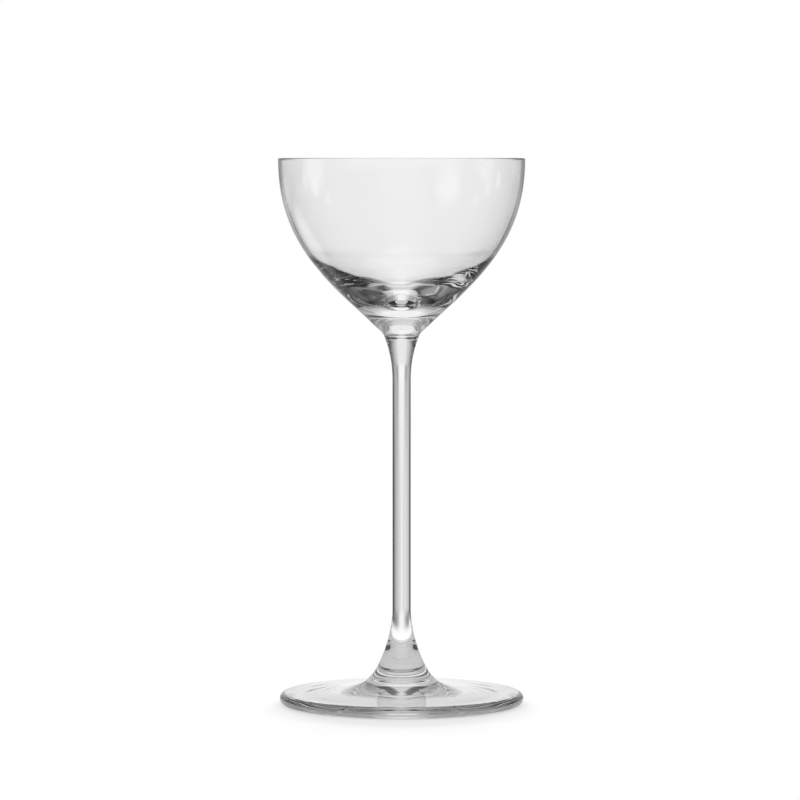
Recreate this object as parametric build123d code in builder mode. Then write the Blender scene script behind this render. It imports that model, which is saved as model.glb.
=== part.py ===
from build123d import *
import math
import os

# A stemmed cocktail glass of three pieces, fused end to end while hot: bowl, stem and foot.
# All sizes are in millimetres. The axis of the glass is Z, and it stands on the plane z = 0.
# A reach is how far a curve holds the direction of its end before it bends away.

# Overall sizes
total_height = 170.0
rim_diameter = 76.8
foot_diameter = 76.2

# The seam between the bowl and the stem
bowl_seam_height = 115.0
bowl_seam_diameter = 11.0

# The outside of the bowl: a full curve from the lip into a cone, which tucks in at the seam
cone_top_diameter = 30.0
cone_top_above_seam = 9.1
cone_foot_diameter = 13.2
cone_foot_above_seam = 1.4
bowl_side_reach = 20.1
bowl_cone_reach = 19.9

# The inside of the bowl: an even wall, then a floor that swells into solid glass
wall_thickness = 0.7
even_wall_length = 30.6
floor_thickness = 9.85
floor_edge_reach = 13.0
floor_middle_reach = 5.0

# The stem: a drawn rod with a flare at each end
stem_diameter = 5.7
upper_flare_length = 13.8
lower_flare_length = 21.6
lower_flare_start_reach = 9.2
lower_flare_end_reach = 3.4

# The seam between the stem and the foot
foot_seam_height = 8.25
foot_seam_diameter = 19.9
foot_seam_lean = 50.0

# The foot: a round plate whose top rises gently, then sweeps up to the stem, with a shallow dish underneath
foot_edge_thickness = 3.56
plate_lean = 2.5
plate_reach = 26.1
plate_seam_reach = 2.4
rest_ring_inner_diameter = 63.0
dish_depth = 2.2

# Points that the pieces share, as distance from the axis and height
bowl_seam = Vector(bowl_seam_diameter / 2, bowl_seam_height)
bowl_seam_middle = Vector(0, bowl_seam_height)
foot_seam = Vector(foot_seam_diameter / 2, foot_seam_height)
foot_seam_middle = Vector(0, foot_seam_height)
foot_seam_slope = Vector(math.sin(math.radians(foot_seam_lean)), -math.cos(math.radians(foot_seam_lean)))
down = Vector(0, -1)
outward = Vector(1, 0)

os.makedirs("parts", exist_ok=True)

# Bowl
rim_radius = rim_diameter / 2
lip_radius = wall_thickness / 2
lip_height = total_height - lip_radius
outer_lip = Vector(rim_radius, lip_height)
lip_top = Vector(rim_radius - lip_radius, total_height)
inner_lip = Vector(rim_radius - wall_thickness, lip_height)
cone_top = Vector(cone_top_diameter / 2, bowl_seam_height + cone_top_above_seam)
cone_foot = Vector(cone_foot_diameter / 2, bowl_seam_height + cone_foot_above_seam)
cone_slope = (cone_foot - cone_top).normalized()
floor_middle = Vector(0, bowl_seam_height + floor_thickness)
outside = Bezier(
    outer_lip,
    outer_lip + down * bowl_side_reach,
    cone_top - cone_slope * bowl_cone_reach,
    cone_top,
)


def inside(length):
    """The point on the inner wall, square to the outside at this length down from the lip."""
    along = outside.tangent_at(length, PositionMode.LENGTH)
    inward = Vector(along.Y, -along.X)
    return outside.position_at(length, PositionMode.LENGTH) + inward * wall_thickness


shoulder = inside(even_wall_length)
shoulder_slope = outside.tangent_at(even_wall_length, PositionMode.LENGTH)

with BuildPart() as bowl:
    with BuildSketch(Plane.XZ):
        with BuildLine():
            add(outside)
            Line(cone_top, cone_foot)
            TangentArc(cone_foot, bowl_seam, tangent=cone_slope)
            Line(bowl_seam, bowl_seam_middle)
            Line(bowl_seam_middle, floor_middle)
            Bezier(
                floor_middle,
                floor_middle + outward * floor_middle_reach,
                shoulder + shoulder_slope * floor_edge_reach,
                shoulder,
            )
            Spline(shoulder, inside(even_wall_length / 2), inner_lip, tangents=[-shoulder_slope, -down])
            ThreePointArc(inner_lip, lip_top, outer_lip)
        make_face()
    revolve(axis=Axis.Z)

bowl.part.label = "bowl"
export_step(bowl.part, "parts/bowl.step")

# Stem
stem_radius = stem_diameter / 2
upper_flare_foot = Vector(stem_radius, bowl_seam_height - upper_flare_length)
lower_flare_top = Vector(stem_radius, foot_seam_height + lower_flare_length)

with BuildPart() as stem:
    with BuildSketch(Plane.XZ):
        with BuildLine():
            Line(foot_seam_middle, bowl_seam_middle)
            Line(bowl_seam_middle, bowl_seam)
            TangentArc(upper_flare_foot, bowl_seam, tangent=-down)
            Line(upper_flare_foot, lower_flare_top)
            Bezier(
                lower_flare_top,
                lower_flare_top + down * lower_flare_start_reach,
                foot_seam - foot_seam_slope * lower_flare_end_reach,
                foot_seam,
            )
            Line(foot_seam, foot_seam_middle)
        make_face()
    revolve(axis=Axis.Z)

stem.part.label = "stem"
export_step(stem.part, "parts/stem.step")

# Foot
edge_radius = foot_edge_thickness / 2
edge_middle = Vector(foot_diameter / 2, edge_radius)
edge_top = Vector(foot_diameter / 2 - edge_radius, foot_edge_thickness)
edge_bottom = Vector(foot_diameter / 2 - edge_radius, 0)
plate_slope = Vector(math.cos(math.radians(plate_lean)), -math.sin(math.radians(plate_lean)))
rest_ring_inner = Vector(rest_ring_inner_diameter / 2, 0)
dish_middle = Vector(0, dish_depth)

with BuildPart() as foot:
    with BuildSketch(Plane.XZ):
        with BuildLine():
            Line(dish_middle, foot_seam_middle)
            Line(foot_seam_middle, foot_seam)
            Bezier(
                foot_seam,
                foot_seam + foot_seam_slope * plate_seam_reach,
                edge_top - plate_slope * plate_reach,
                edge_top,
            )
            ThreePointArc(edge_top, edge_middle, edge_bottom)
            Line(edge_bottom, rest_ring_inner)
            TangentArc(dish_middle, rest_ring_inner, tangent=outward)
        make_face()
    revolve(axis=Axis.Z)

foot.part.label = "foot"
export_step(foot.part, "parts/foot.step")
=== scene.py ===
"""A stemmed cocktail glass of clear glass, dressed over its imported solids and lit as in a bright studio."""

import math
import bmesh
import bpy
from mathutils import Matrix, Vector, noise


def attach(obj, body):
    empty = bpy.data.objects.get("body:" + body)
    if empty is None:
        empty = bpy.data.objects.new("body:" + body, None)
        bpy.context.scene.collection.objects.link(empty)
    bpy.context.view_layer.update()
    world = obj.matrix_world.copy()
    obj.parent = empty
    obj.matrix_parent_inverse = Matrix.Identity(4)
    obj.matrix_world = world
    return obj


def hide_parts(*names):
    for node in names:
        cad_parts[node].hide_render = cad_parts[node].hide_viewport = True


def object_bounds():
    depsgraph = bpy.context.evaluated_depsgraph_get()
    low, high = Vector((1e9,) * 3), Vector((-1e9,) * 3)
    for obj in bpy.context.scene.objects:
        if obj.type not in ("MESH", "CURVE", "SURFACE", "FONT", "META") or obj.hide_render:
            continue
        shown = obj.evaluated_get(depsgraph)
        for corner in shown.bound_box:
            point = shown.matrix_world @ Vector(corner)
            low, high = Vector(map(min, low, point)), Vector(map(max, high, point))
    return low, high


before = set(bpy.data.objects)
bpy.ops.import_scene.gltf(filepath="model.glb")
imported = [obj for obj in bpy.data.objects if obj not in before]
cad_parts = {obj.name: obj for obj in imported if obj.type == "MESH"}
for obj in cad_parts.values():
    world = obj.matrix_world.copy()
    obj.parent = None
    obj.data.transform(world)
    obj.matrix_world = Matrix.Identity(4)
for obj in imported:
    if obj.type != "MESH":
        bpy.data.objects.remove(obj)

cad_low, cad_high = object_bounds()
scene = bpy.context.scene

# The pieces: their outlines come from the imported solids, and are turned again with finer steps
turn_steps = 240
step_angle = math.radians(1.5)
longest_step = 0.0008
same_place = 1e-6
place_digits = 6
straight_ratio = 2.2

# The glass, and the ranges in which painted shade darkens its colour: seen along its surface, at the lip, at
# the foot's edge
glass_ior = 1.5
glass_colour = (0.99, 0.99, 0.99, 1)
# Painted shade at the outlines: the dark colour mixed into the glass at grazing angles, and where that starts
# and ends
outline_shade_colour = (0.02, 0.02, 0.02, 1)
outline_shade_facing = (0.78, 0.85)
outline_shade_upright = (0.88, 0.97)
# Painted shade at the lip: the depths below the rim and the grazing angles over which its colour is darkened
lip_shade_depth = (0.0009, 0.0004)
lip_shade_facing = (0.45, 0.80)
# Painted shade on the foot's round edge: its colour, its share near the table and the width of its blend
foot_rim_shade_colour = (0.45, 0.45, 0.45, 1)
foot_rim_shade_low_share = 0.3
foot_rim_shade_blend = 0.0005

# The unevenness of the polish
polish_scale = 120.0
polish_range = (0.3, 0.7)
polish_roughness = 0.012
polish_depth = 0.000002

# Waves in the glass, left by the hot work: their height, their length up the glass and around it, by piece
waves = {
    "bowl": (0.00015, 0.0040, 0.010),
    "stem": (0.00003, 0.0030, 0.016),
    "foot": (0.00003, 0.0050, 0.012),
}
# The share of them that the inside of the cup keeps
wave_inside = 0.2
# Where they die out: above the seam on the bowl and the stem, and from the axis on the foot
wave_fade = {"bowl": (0.016, 0.027), "stem": (0.012, 0.022), "foot": (0.024, 0.031)}
# The heights over which they grow from nothing: at each piece's seam, and above the table under the foot
seam_calm = {"bowl": 0.004, "stem": 0.004, "foot": 0.003}
table_calm = 0.0005

# The camera, whose height is the rim's
camera_distance = 1.265
camera_side = -0.0005
camera_pitch = math.radians(3.40)
camera_lens = 183.3
camera_sensor = 36

# The stage
floor_radius = 0.09
floor_fade = 0.05
floor_drop = 0.0001
floor_steps = 96
floor_colour = (0.30, 0.30, 0.30, 1)
floor_glow = 0.56

# A wide low lamp behind the glass, which draws its shadow forward
lamp_distance = 1.0
lamp_height = 0.2
lamp_size = (1.2, 0.15)
lamp_power = 42

# How often light may bounce: in the glass, and off its outside
most_bounces = 32
most_glossy = 16

# The room that the glass shows: brightness by the angle from straight ahead, in degrees to the right
ceiling_panels = {
    -180: 0.12, -150: 0.08, -110: 0.04, -60: 0.05, -30: 0.06, -17: 0.10, -7: 0.60,
    7: 0.60, 17: 0.10, 30: 0.06, 60: 0.05, 110: 0.04, 150: 0.08, 180: 0.12,
}
upper_panels = {
    -180: 0.25, -166: 0.20, -150: 0.03, -66: 0.02, -55: 0.20, -44: 0.24, -36: 0.36, -28: 0.54,
    -20: 0.68, -10: 0.86, 10: 0.86, 20: 0.62,
    28: 0.46, 36: 0.32, 44: 0.22, 55: 0.14, 66: 0.02, 150: 0.03, 166: 0.20, 180: 0.25,
}
wall_panels = {
    -180: 0.30, -136: 0.28, -116: 0.06, -100: 0.02, -74: 0.02, -66: 0.06, -56: 0.18, -48: 0.32, -40: 0.45,
    -30: 0.54, -24: 0.46, -16: 0.42, -10: 0.96, -4: 1.0,
    4: 1.0, 10: 0.94, 16: 0.42, 24: 0.42, 30: 0.46,
    40: 0.32, 48: 0.18, 56: 0.08, 66: 0.04, 74: 0.02, 100: 0.02, 116: 0.06, 136: 0.28, 180: 0.30,
}
skirting_panels = {
    -180: 0.25, -166: 0.20, -150: 0.03, -70: 0.02, -60: 0.06, -48: 0.16, -37: 0.60, -22: 0.74, -12: 0.78,
    -3: 0.80, -1.5: 0.95, 1.5: 0.95, 3: 0.80,
    10: 0.72, 20: 0.58, 30: 0.44, 39: 0.25, 48: 0.05, 70: 0.02, 150: 0.03, 166: 0.20, 180: 0.25,
}
table_panels = {
    -180: 0.25, -166: 0.20, -150: 0.03, -76: 0.02, -66: 0.04, -52: 0.10, -42: 0.18, -32: 0.28, -20: 0.42,
    -12: 0.70, -6: 0.95, 6: 0.95, 12: 0.62,
    20: 0.36, 32: 0.22, 42: 0.14, 52: 0.08, 66: 0.04, 76: 0.02, 150: 0.03, 166: 0.20, 180: 0.25,
}
zenith_colour = 0.80

# Where each layer starts to cover the one below it and where it hides it, in degrees above the horizon
skirting_start = (-13, -6)
wall_start = (-5.0, -2.2)
upper_start = (3, 7)
ceiling_start = (18, 30)
zenith_start = (60, 75)

# White cards behind the glass for the other sides it is seen from, in degrees to the right and up
cards = ((-90, -2), (-45, -25), (135, -15))
card_size = 2
card_edge = 16
card_colour = 0.85

# Small lamps at the sides, which the base of the bowl bends into streaks
streaks = ((-98, 20), (-84, 12), (84, 12), (98, 20), (76, -8), (-76, -8))
streak_size = 1
streak_edge = 5
streak_colour = 0.65


def meridian(node):
    """The outline of a CAD node in the half plane +X, as (radius, height) points in order along its edges."""
    mesh = node.data
    at = {}
    for vertex in mesh.vertices:
        if abs(vertex.co.y) < same_place and vertex.co.x > -same_place:
            at[vertex.index] = (round(vertex.co.x, place_digits), round(vertex.co.z, place_digits))
    beside = {place: set() for place in at.values()}
    for edge in mesh.edges:
        first, second = edge.vertices
        if first in at and second in at and at[first] != at[second]:
            beside[at[first]].add(at[second])
            beside[at[second]].add(at[first])
    ends = [place for place in beside if len(beside[place]) == 1]
    chain = [max(ends)]
    while True:
        following = beside[chain[-1]] - set(chain[-2:])
        if not following:
            return chain
        chain.append(following.pop())


def heading(start, end):
    """The direction from one outline point to another, as an angle, and the distance."""
    across, up = end[0] - start[0], end[1] - start[1]
    return math.atan2(up, across), math.hypot(across, up)


def turned(angle, other):
    """The turn from one angle to another, between minus and plus half a turn."""
    return (other - angle + math.pi) % (2 * math.pi) - math.pi


def smooth(chain):
    """The outline with more points, on curves through the chain's own points."""
    runs = [heading(start, end) for start, end in zip(chain, chain[1:])]
    angles = []
    for (before, reach_before), (after, reach_after) in zip(runs, runs[1:]):
        bend = turned(before, after)
        if reach_before > straight_ratio * reach_after:
            share = 0.0
        elif reach_after > straight_ratio * reach_before:
            share = 1.0
        else:
            share = reach_before / (reach_before + reach_after)
        angles.append(before + bend * share)
    first, last = runs[0][0], runs[-1][0]
    angles = [first + turned(angles[0], first), *angles, last + turned(angles[-1], last)]
    points = [chain[0]]
    for index, (_, reach) in enumerate(runs):
        start, end = chain[index], chain[index + 1]
        leave, arrive = angles[index], angles[index + 1]
        count = max(math.ceil(abs(turned(leave, arrive)) / step_angle), math.ceil(reach / longest_step))
        for step in range(1, count + 1):
            t = step / count
            blend_start = 2 * t**3 - 3 * t**2 + 1
            blend_leave = t**3 - 2 * t**2 + t
            blend_arrive = t**3 - t**2
            point = []
            for axis, part in enumerate((math.cos, math.sin)):
                point.append(
                    blend_start * start[axis]
                    + (1 - blend_start) * end[axis]
                    + blend_leave * reach * part(leave)
                    + blend_arrive * reach * part(arrive)
                )
            points.append(tuple(point))
    return points


def normals(outline):
    """The direction square to the outline at each of its points."""
    sides = []
    for before, after in zip(outline[:1] + outline, outline[1:] + outline[-1:]):
        angle, _ = heading(before, after)
        sides.append((math.sin(angle), -math.cos(angle)))
    return sides


def calm(value, start, end):
    """A smooth step down from 1 to 0 between two values."""
    share = min(max((end - value) / (end - start), 0), 1)
    return share * share * (3 - 2 * share)


def swell(node, radius, height):
    """How strong the waves are at a place on the outline of a piece; they stop at the seams."""
    low, high = outline_span[node]
    seam = -seam_calm[node]
    if node == "foot":
        off_table = calm(low - height, -table_calm, 0)
        return calm(radius, *wave_fade[node]) * calm(height - high, seam, 0) * off_table
    return calm(height - low, *wave_fade[node]) * calm(low - height, seam, 0)


def lathe(name, outline, node):
    """A closed mesh turned about Z from an outline, with a flat face over each end that is off the axis."""
    mesh = bmesh.new()
    wave_height, wave_length, wave_width = waves[node]
    rings = []
    for (radius, height), (across, up) in zip(outline, normals(outline)):
        if radius < same_place:
            rings.append([mesh.verts.new((0, 0, height))] * turn_steps)
            continue
        strength = wave_height * swell(node, radius, height)
        if node == "bowl" and up > 0:
            strength *= wave_inside
        ring = []
        for step in range(turn_steps):
            angle = 2 * math.pi * step / turn_steps
            toward = Vector((math.cos(angle), math.sin(angle), 0))
            place = toward * radius / wave_width + Vector((0, 0, height / wave_length))
            move = strength * noise.noise(place)
            moved = toward * (radius + across * move) + Vector((0, 0, height + up * move))
            ring.append(mesh.verts.new(moved))
        rings.append(ring)
    for lower, upper in zip(rings, rings[1:]):
        for step in range(turn_steps):
            following = (step + 1) % turn_steps
            corners = [lower[step], lower[following], upper[following], upper[step]]
            face = mesh.faces.new(list(dict.fromkeys(corners)))
            face.smooth = True
    for ring, (radius, height) in ((rings[0], outline[0]), (rings[-1], outline[-1])):
        if radius < same_place:
            continue
        middle = mesh.verts.new((0, 0, height))
        for step in range(turn_steps):
            face = mesh.faces.new((middle, ring[step], ring[(step + 1) % turn_steps]))
            face.material_index = 1
    bmesh.ops.recalc_face_normals(mesh, faces=mesh.faces)
    data = bpy.data.meshes.new(name)
    mesh.to_mesh(data)
    mesh.free()
    piece = bpy.data.objects.new(name, data)
    scene.collection.objects.link(piece)
    return piece


def material(name):
    """A new material, its empty node tree and its output node."""
    made = bpy.data.materials.new(name)
    made.use_nodes = True
    made.node_tree.nodes.clear()
    output = made.node_tree.nodes.new("ShaderNodeOutputMaterial")
    return made, made.node_tree, output


def span(tree, value, start, end, low, high):
    """A smooth step from low to high while a value goes from start to end."""
    step = tree.nodes.new("ShaderNodeMapRange")
    step.interpolation_type = "SMOOTHSTEP"
    step.inputs["From Min"].default_value = start
    step.inputs["From Max"].default_value = end
    step.inputs["To Min"].default_value = low
    step.inputs["To Max"].default_value = high
    tree.links.new(value, step.inputs["Value"])
    return step.outputs["Result"]


def joined(tree, operation, *values):
    """One value made from others by a sum in the node tree."""
    node = tree.nodes.new("ShaderNodeMath")
    node.operation = operation
    for value, socket in zip(values, node.inputs):
        tree.links.new(value, socket)
    return node.outputs[0]


def split(tree, vector):
    """The three parts of a vector, by axis name."""
    node = tree.nodes.new("ShaderNodeSeparateXYZ")
    tree.links.new(vector, node.inputs["Vector"])
    return node.outputs


def mixed(tree, share, under, over):
    """A colour laid over another by a share; each is a colour or the output of a node."""
    node = tree.nodes.new("ShaderNodeMixRGB")
    tree.links.new(share, node.inputs["Fac"])
    for socket, colour in (("Color1", under), ("Color2", over)):
        if isinstance(colour, tuple):
            node.inputs[socket].default_value = colour
        else:
            tree.links.new(colour, node.inputs[socket])
    return node.outputs["Color"]


outlines = {node: smooth(meridian(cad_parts[node])) for node in ("bowl", "stem", "foot")}
outline_span = {}
for node, outline in outlines.items():
    heights = [height for _, height in outline]
    outline_span[node] = (min(heights), max(heights))

glass, tree, output = material("clear_glass")
shader = tree.nodes.new("ShaderNodeBsdfPrincipled")
shader.inputs["IOR"].default_value = glass_ior
shader.inputs["Transmission Weight"].default_value = 1.0
tree.links.new(shader.outputs["BSDF"], output.inputs["Surface"])
place = tree.nodes.new("ShaderNodeTexCoord").outputs["Object"]
x, y, z = split(tree, place)

# Painted shade: the glass colour is darkened where it is seen along its surface, deepening the dark outlines
# that refraction draws, but not on the flat of the foot
facing = tree.nodes.new("ShaderNodeLayerWeight").outputs["Facing"]
normal = tree.nodes.new("ShaderNodeNewGeometry").outputs["Normal"]
flatness = joined(tree, "ABSOLUTE", split(tree, normal)["Z"])
steep = span(tree, facing, *outline_shade_facing, 0, 1)
upright = span(tree, flatness, *outline_shade_upright, 1, 0)
edge = joined(tree, "MULTIPLY", steep, upright)

# Painted shade on the thin lip as well: its colour is darkened where more of it is seen along its surface
lip_start, lip_end = (cad_high.z - depth for depth in lip_shade_depth)
at_lip = span(tree, z, lip_start, lip_end, 0, 1)
lip = joined(tree, "MULTIPLY", at_lip, span(tree, facing, *lip_shade_facing, 0, 1))
# The glass colour with the painted shade at its outlines and lip
outline_shaded_colour = mixed(tree, joined(tree, "MAXIMUM", edge, lip), glass_colour, outline_shade_colour)

# Painted shade on the round edge of the foot: its colour is darkened there, for the dark band where light
# runs through the whole width of the plate
foot_radius, edge_middle = max(outlines["foot"])
edge_start = foot_radius - edge_middle
edge_top = 2 * edge_middle
rim_shade_full_height = 1.5 * edge_middle
rim_shade_end_height = 3 * edge_middle
beside_axis = tree.nodes.new("ShaderNodeCombineXYZ")
tree.links.new(x, beside_axis.inputs["X"])
tree.links.new(y, beside_axis.inputs["Y"])
radius = tree.nodes.new("ShaderNodeVectorMath")
radius.operation = "LENGTH"
tree.links.new(beside_axis.outputs["Vector"], radius.inputs[0])
outside = span(tree, radius.outputs["Value"], edge_start, edge_start + foot_rim_shade_blend, 0, 1)
low_down = span(tree, z, edge_top, rim_shade_end_height, 1, 0)
risen = span(tree, z, 0, rim_shade_full_height, foot_rim_shade_low_share, 1)
foot_rim_painted_shade = joined(tree, "MULTIPLY", risen, joined(tree, "MULTIPLY", outside, low_down))
# The painted shade of the foot's edge laid into the glass colour
tree.links.new(mixed(tree, foot_rim_painted_shade, outline_shaded_colour, foot_rim_shade_colour), shader.inputs["Base Color"])

# A faint unevenness of the polish
polish = tree.nodes.new("ShaderNodeTexNoise")
polish.inputs["Scale"].default_value = polish_scale
tree.links.new(place, polish.inputs["Vector"])
shine = span(tree, polish.outputs["Fac"], *polish_range, 0, polish_roughness)
tree.links.new(shine, shader.inputs["Roughness"])
bump = tree.nodes.new("ShaderNodeBump")
bump.inputs["Strength"].default_value = 1.0
bump.inputs["Distance"].default_value = polish_depth
tree.links.new(polish.outputs["Fac"], bump.inputs["Height"])
tree.links.new(bump.outputs["Normal"], shader.inputs["Normal"])

# The seams can't be seen, because the pieces are fused there
fused, tree, output = material("fused_glass")
shader = tree.nodes.new("ShaderNodeBsdfTransparent")
tree.links.new(shader.outputs["BSDF"], output.inputs["Surface"])

for node, outline in outlines.items():
    piece = lathe("glass_" + node, outline, node)
    piece.data.materials.append(glass)
    piece.data.materials.append(fused)
    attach(piece, "root")
    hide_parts(node)

# Floor: a disc of white paper, which fades out at its rim
floor_mesh = bmesh.new()
bmesh.ops.create_circle(floor_mesh, cap_ends=True, segments=floor_steps, radius=floor_radius)
floor_data = bpy.data.meshes.new("floor")
floor_mesh.to_mesh(floor_data)
floor_mesh.free()
floor = bpy.data.objects.new("floor", floor_data)
floor.location.z = cad_low.z - floor_drop
scene.collection.objects.link(floor)

paper, tree, output = material("white_paper")
shade = tree.nodes.new("ShaderNodeBsdfDiffuse")
shade.inputs["Color"].default_value = floor_colour
glow = tree.nodes.new("ShaderNodeEmission")
glow.inputs["Strength"].default_value = floor_glow
both = tree.nodes.new("ShaderNodeAddShader")
tree.links.new(shade.outputs["BSDF"], both.inputs[0])
tree.links.new(glow.outputs["Emission"], both.inputs[1])
clear = tree.nodes.new("ShaderNodeBsdfTransparent")
radius = tree.nodes.new("ShaderNodeVectorMath")
radius.operation = "LENGTH"
tree.links.new(tree.nodes.new("ShaderNodeTexCoord").outputs["Object"], radius.inputs[0])
faded = tree.nodes.new("ShaderNodeMixShader")
tree.links.new(span(tree, radius.outputs["Value"], floor_fade, floor_radius, 0, 1), faded.inputs["Fac"])
tree.links.new(both.outputs["Shader"], faded.inputs[1])
tree.links.new(clear.outputs["BSDF"], faded.inputs[2])
tree.links.new(faded.outputs["Shader"], output.inputs["Surface"])
floor.data.materials.append(paper)

# Lamp
lamp_data = bpy.data.lights.new("lamp", "AREA")
lamp_data.shape = "RECTANGLE"
lamp_data.size, lamp_data.size_y = lamp_size
lamp_data.energy = lamp_power
lamp = bpy.data.objects.new("lamp", lamp_data)
lamp.location = (0, lamp_distance, lamp_height)
lamp.rotation_euler = (-math.atan2(lamp_distance, lamp_height), 0, 0)
lamp.visible_camera = False
lamp.visible_glossy = False
lamp.visible_transmission = False
scene.collection.objects.link(lamp)

# Surroundings: even white light on the floor, and for the glass a room, bright ahead and dark at the sides
world = bpy.data.worlds.new("studio")
scene.world = world
world.use_nodes = True
tree = world.node_tree
tree.nodes.clear()
output = tree.nodes.new("ShaderNodeOutputWorld")
direction = tree.nodes.new("ShaderNodeTexCoord").outputs["Generated"]
right, ahead, above = split(tree, direction)
turn = tree.nodes.new("ShaderNodeMapRange")
turn.inputs["From Min"].default_value = -math.pi
turn.inputs["From Max"].default_value = math.pi
tree.links.new(joined(tree, "ARCTAN2", right, ahead), turn.inputs["Value"])


def grey(bright):
    """A neutral colour of this brightness."""
    return (bright, bright, bright, 1)


def panels(values):
    """A ramp of soft panels round the glass."""
    ramp = tree.nodes.new("ShaderNodeValToRGB")
    ramp.color_ramp.interpolation = "EASE"
    stops = ramp.color_ramp.elements
    while len(stops) < len(values):
        stops.new(0.5)
    for stop, angle in zip(stops, values):
        stop.position = (angle + 180) / 360
    for stop, bright in zip(stops, values.values()):
        stop.color = grey(bright)
    tree.links.new(turn.outputs["Result"], ramp.inputs["Fac"])
    return ramp.outputs["Color"]


def fade(low, high):
    """A smooth step from 0 to 1 between two heights of the direction, in degrees above the horizon."""
    return span(tree, above, math.sin(math.radians(low)), math.sin(math.radians(high)), 0, 1)


def card(to_right, up, size, rim):
    """The share of a soft round card in this direction, with the angles where it starts to fade and ends."""
    toward = tree.nodes.new("ShaderNodeVectorMath")
    toward.operation = "DOT_PRODUCT"
    level = math.cos(math.radians(up))
    toward.inputs[1].default_value = (
        math.sin(math.radians(to_right)) * level,
        math.cos(math.radians(to_right)) * level,
        math.sin(math.radians(up)),
    )
    tree.links.new(direction, toward.inputs[0])
    rim_share = math.cos(math.radians(rim))
    full_share = math.cos(math.radians(size))
    return span(tree, toward.outputs["Value"], rim_share, full_share, 0, 1)


room = mixed(tree, fade(*skirting_start), panels(table_panels), panels(skirting_panels))
room = mixed(tree, fade(*wall_start), room, panels(wall_panels))
room = mixed(tree, fade(*upper_start), room, panels(upper_panels))
for to_right, up in cards:
    room = mixed(tree, card(to_right, up, card_size, card_edge), room, grey(card_colour))
for to_right, up in streaks:
    room = mixed(tree, card(to_right, up, streak_size, streak_edge), room, grey(streak_colour))
room = mixed(tree, fade(*ceiling_start), room, panels(ceiling_panels))
room = mixed(tree, fade(*zenith_start), room, grey(zenith_colour))
path = tree.nodes.new("ShaderNodeLightPath").outputs
backdrop = tree.nodes.new("ShaderNodeBackground")
tree.links.new(mixed(tree, path["Is Camera Ray"], room, grey(1.0)), backdrop.inputs["Color"])
light = tree.nodes.new("ShaderNodeBackground")
light.inputs["Color"].default_value = grey(1.0)
seen = joined(tree, "MAXIMUM", path["Is Camera Ray"], path["Is Glossy Ray"])
choose = tree.nodes.new("ShaderNodeMixShader")
tree.links.new(joined(tree, "MAXIMUM", seen, path["Is Transmission Ray"]), choose.inputs["Fac"])
tree.links.new(light.outputs["Background"], choose.inputs[1])
tree.links.new(backdrop.outputs["Background"], choose.inputs[2])
tree.links.new(choose.outputs["Shader"], output.inputs["Surface"])

# Camera
camera_data = bpy.data.cameras.new("camera")
camera_data.sensor_width = camera_sensor
camera_data.lens = camera_lens
camera = bpy.data.objects.new("camera", camera_data)
camera.location = (camera_side, -camera_distance, cad_high.z)
camera.rotation_euler = (math.pi / 2 - camera_pitch, 0, 0)
scene.collection.objects.link(camera)
scene.camera = camera

scene.view_settings.view_transform = "Standard"
scene.cycles.max_bounces = most_bounces
scene.cycles.transmission_bounces = most_bounces
scene.cycles.glossy_bounces = most_glossy
scene.cycles.transparent_max_bounces = most_bounces
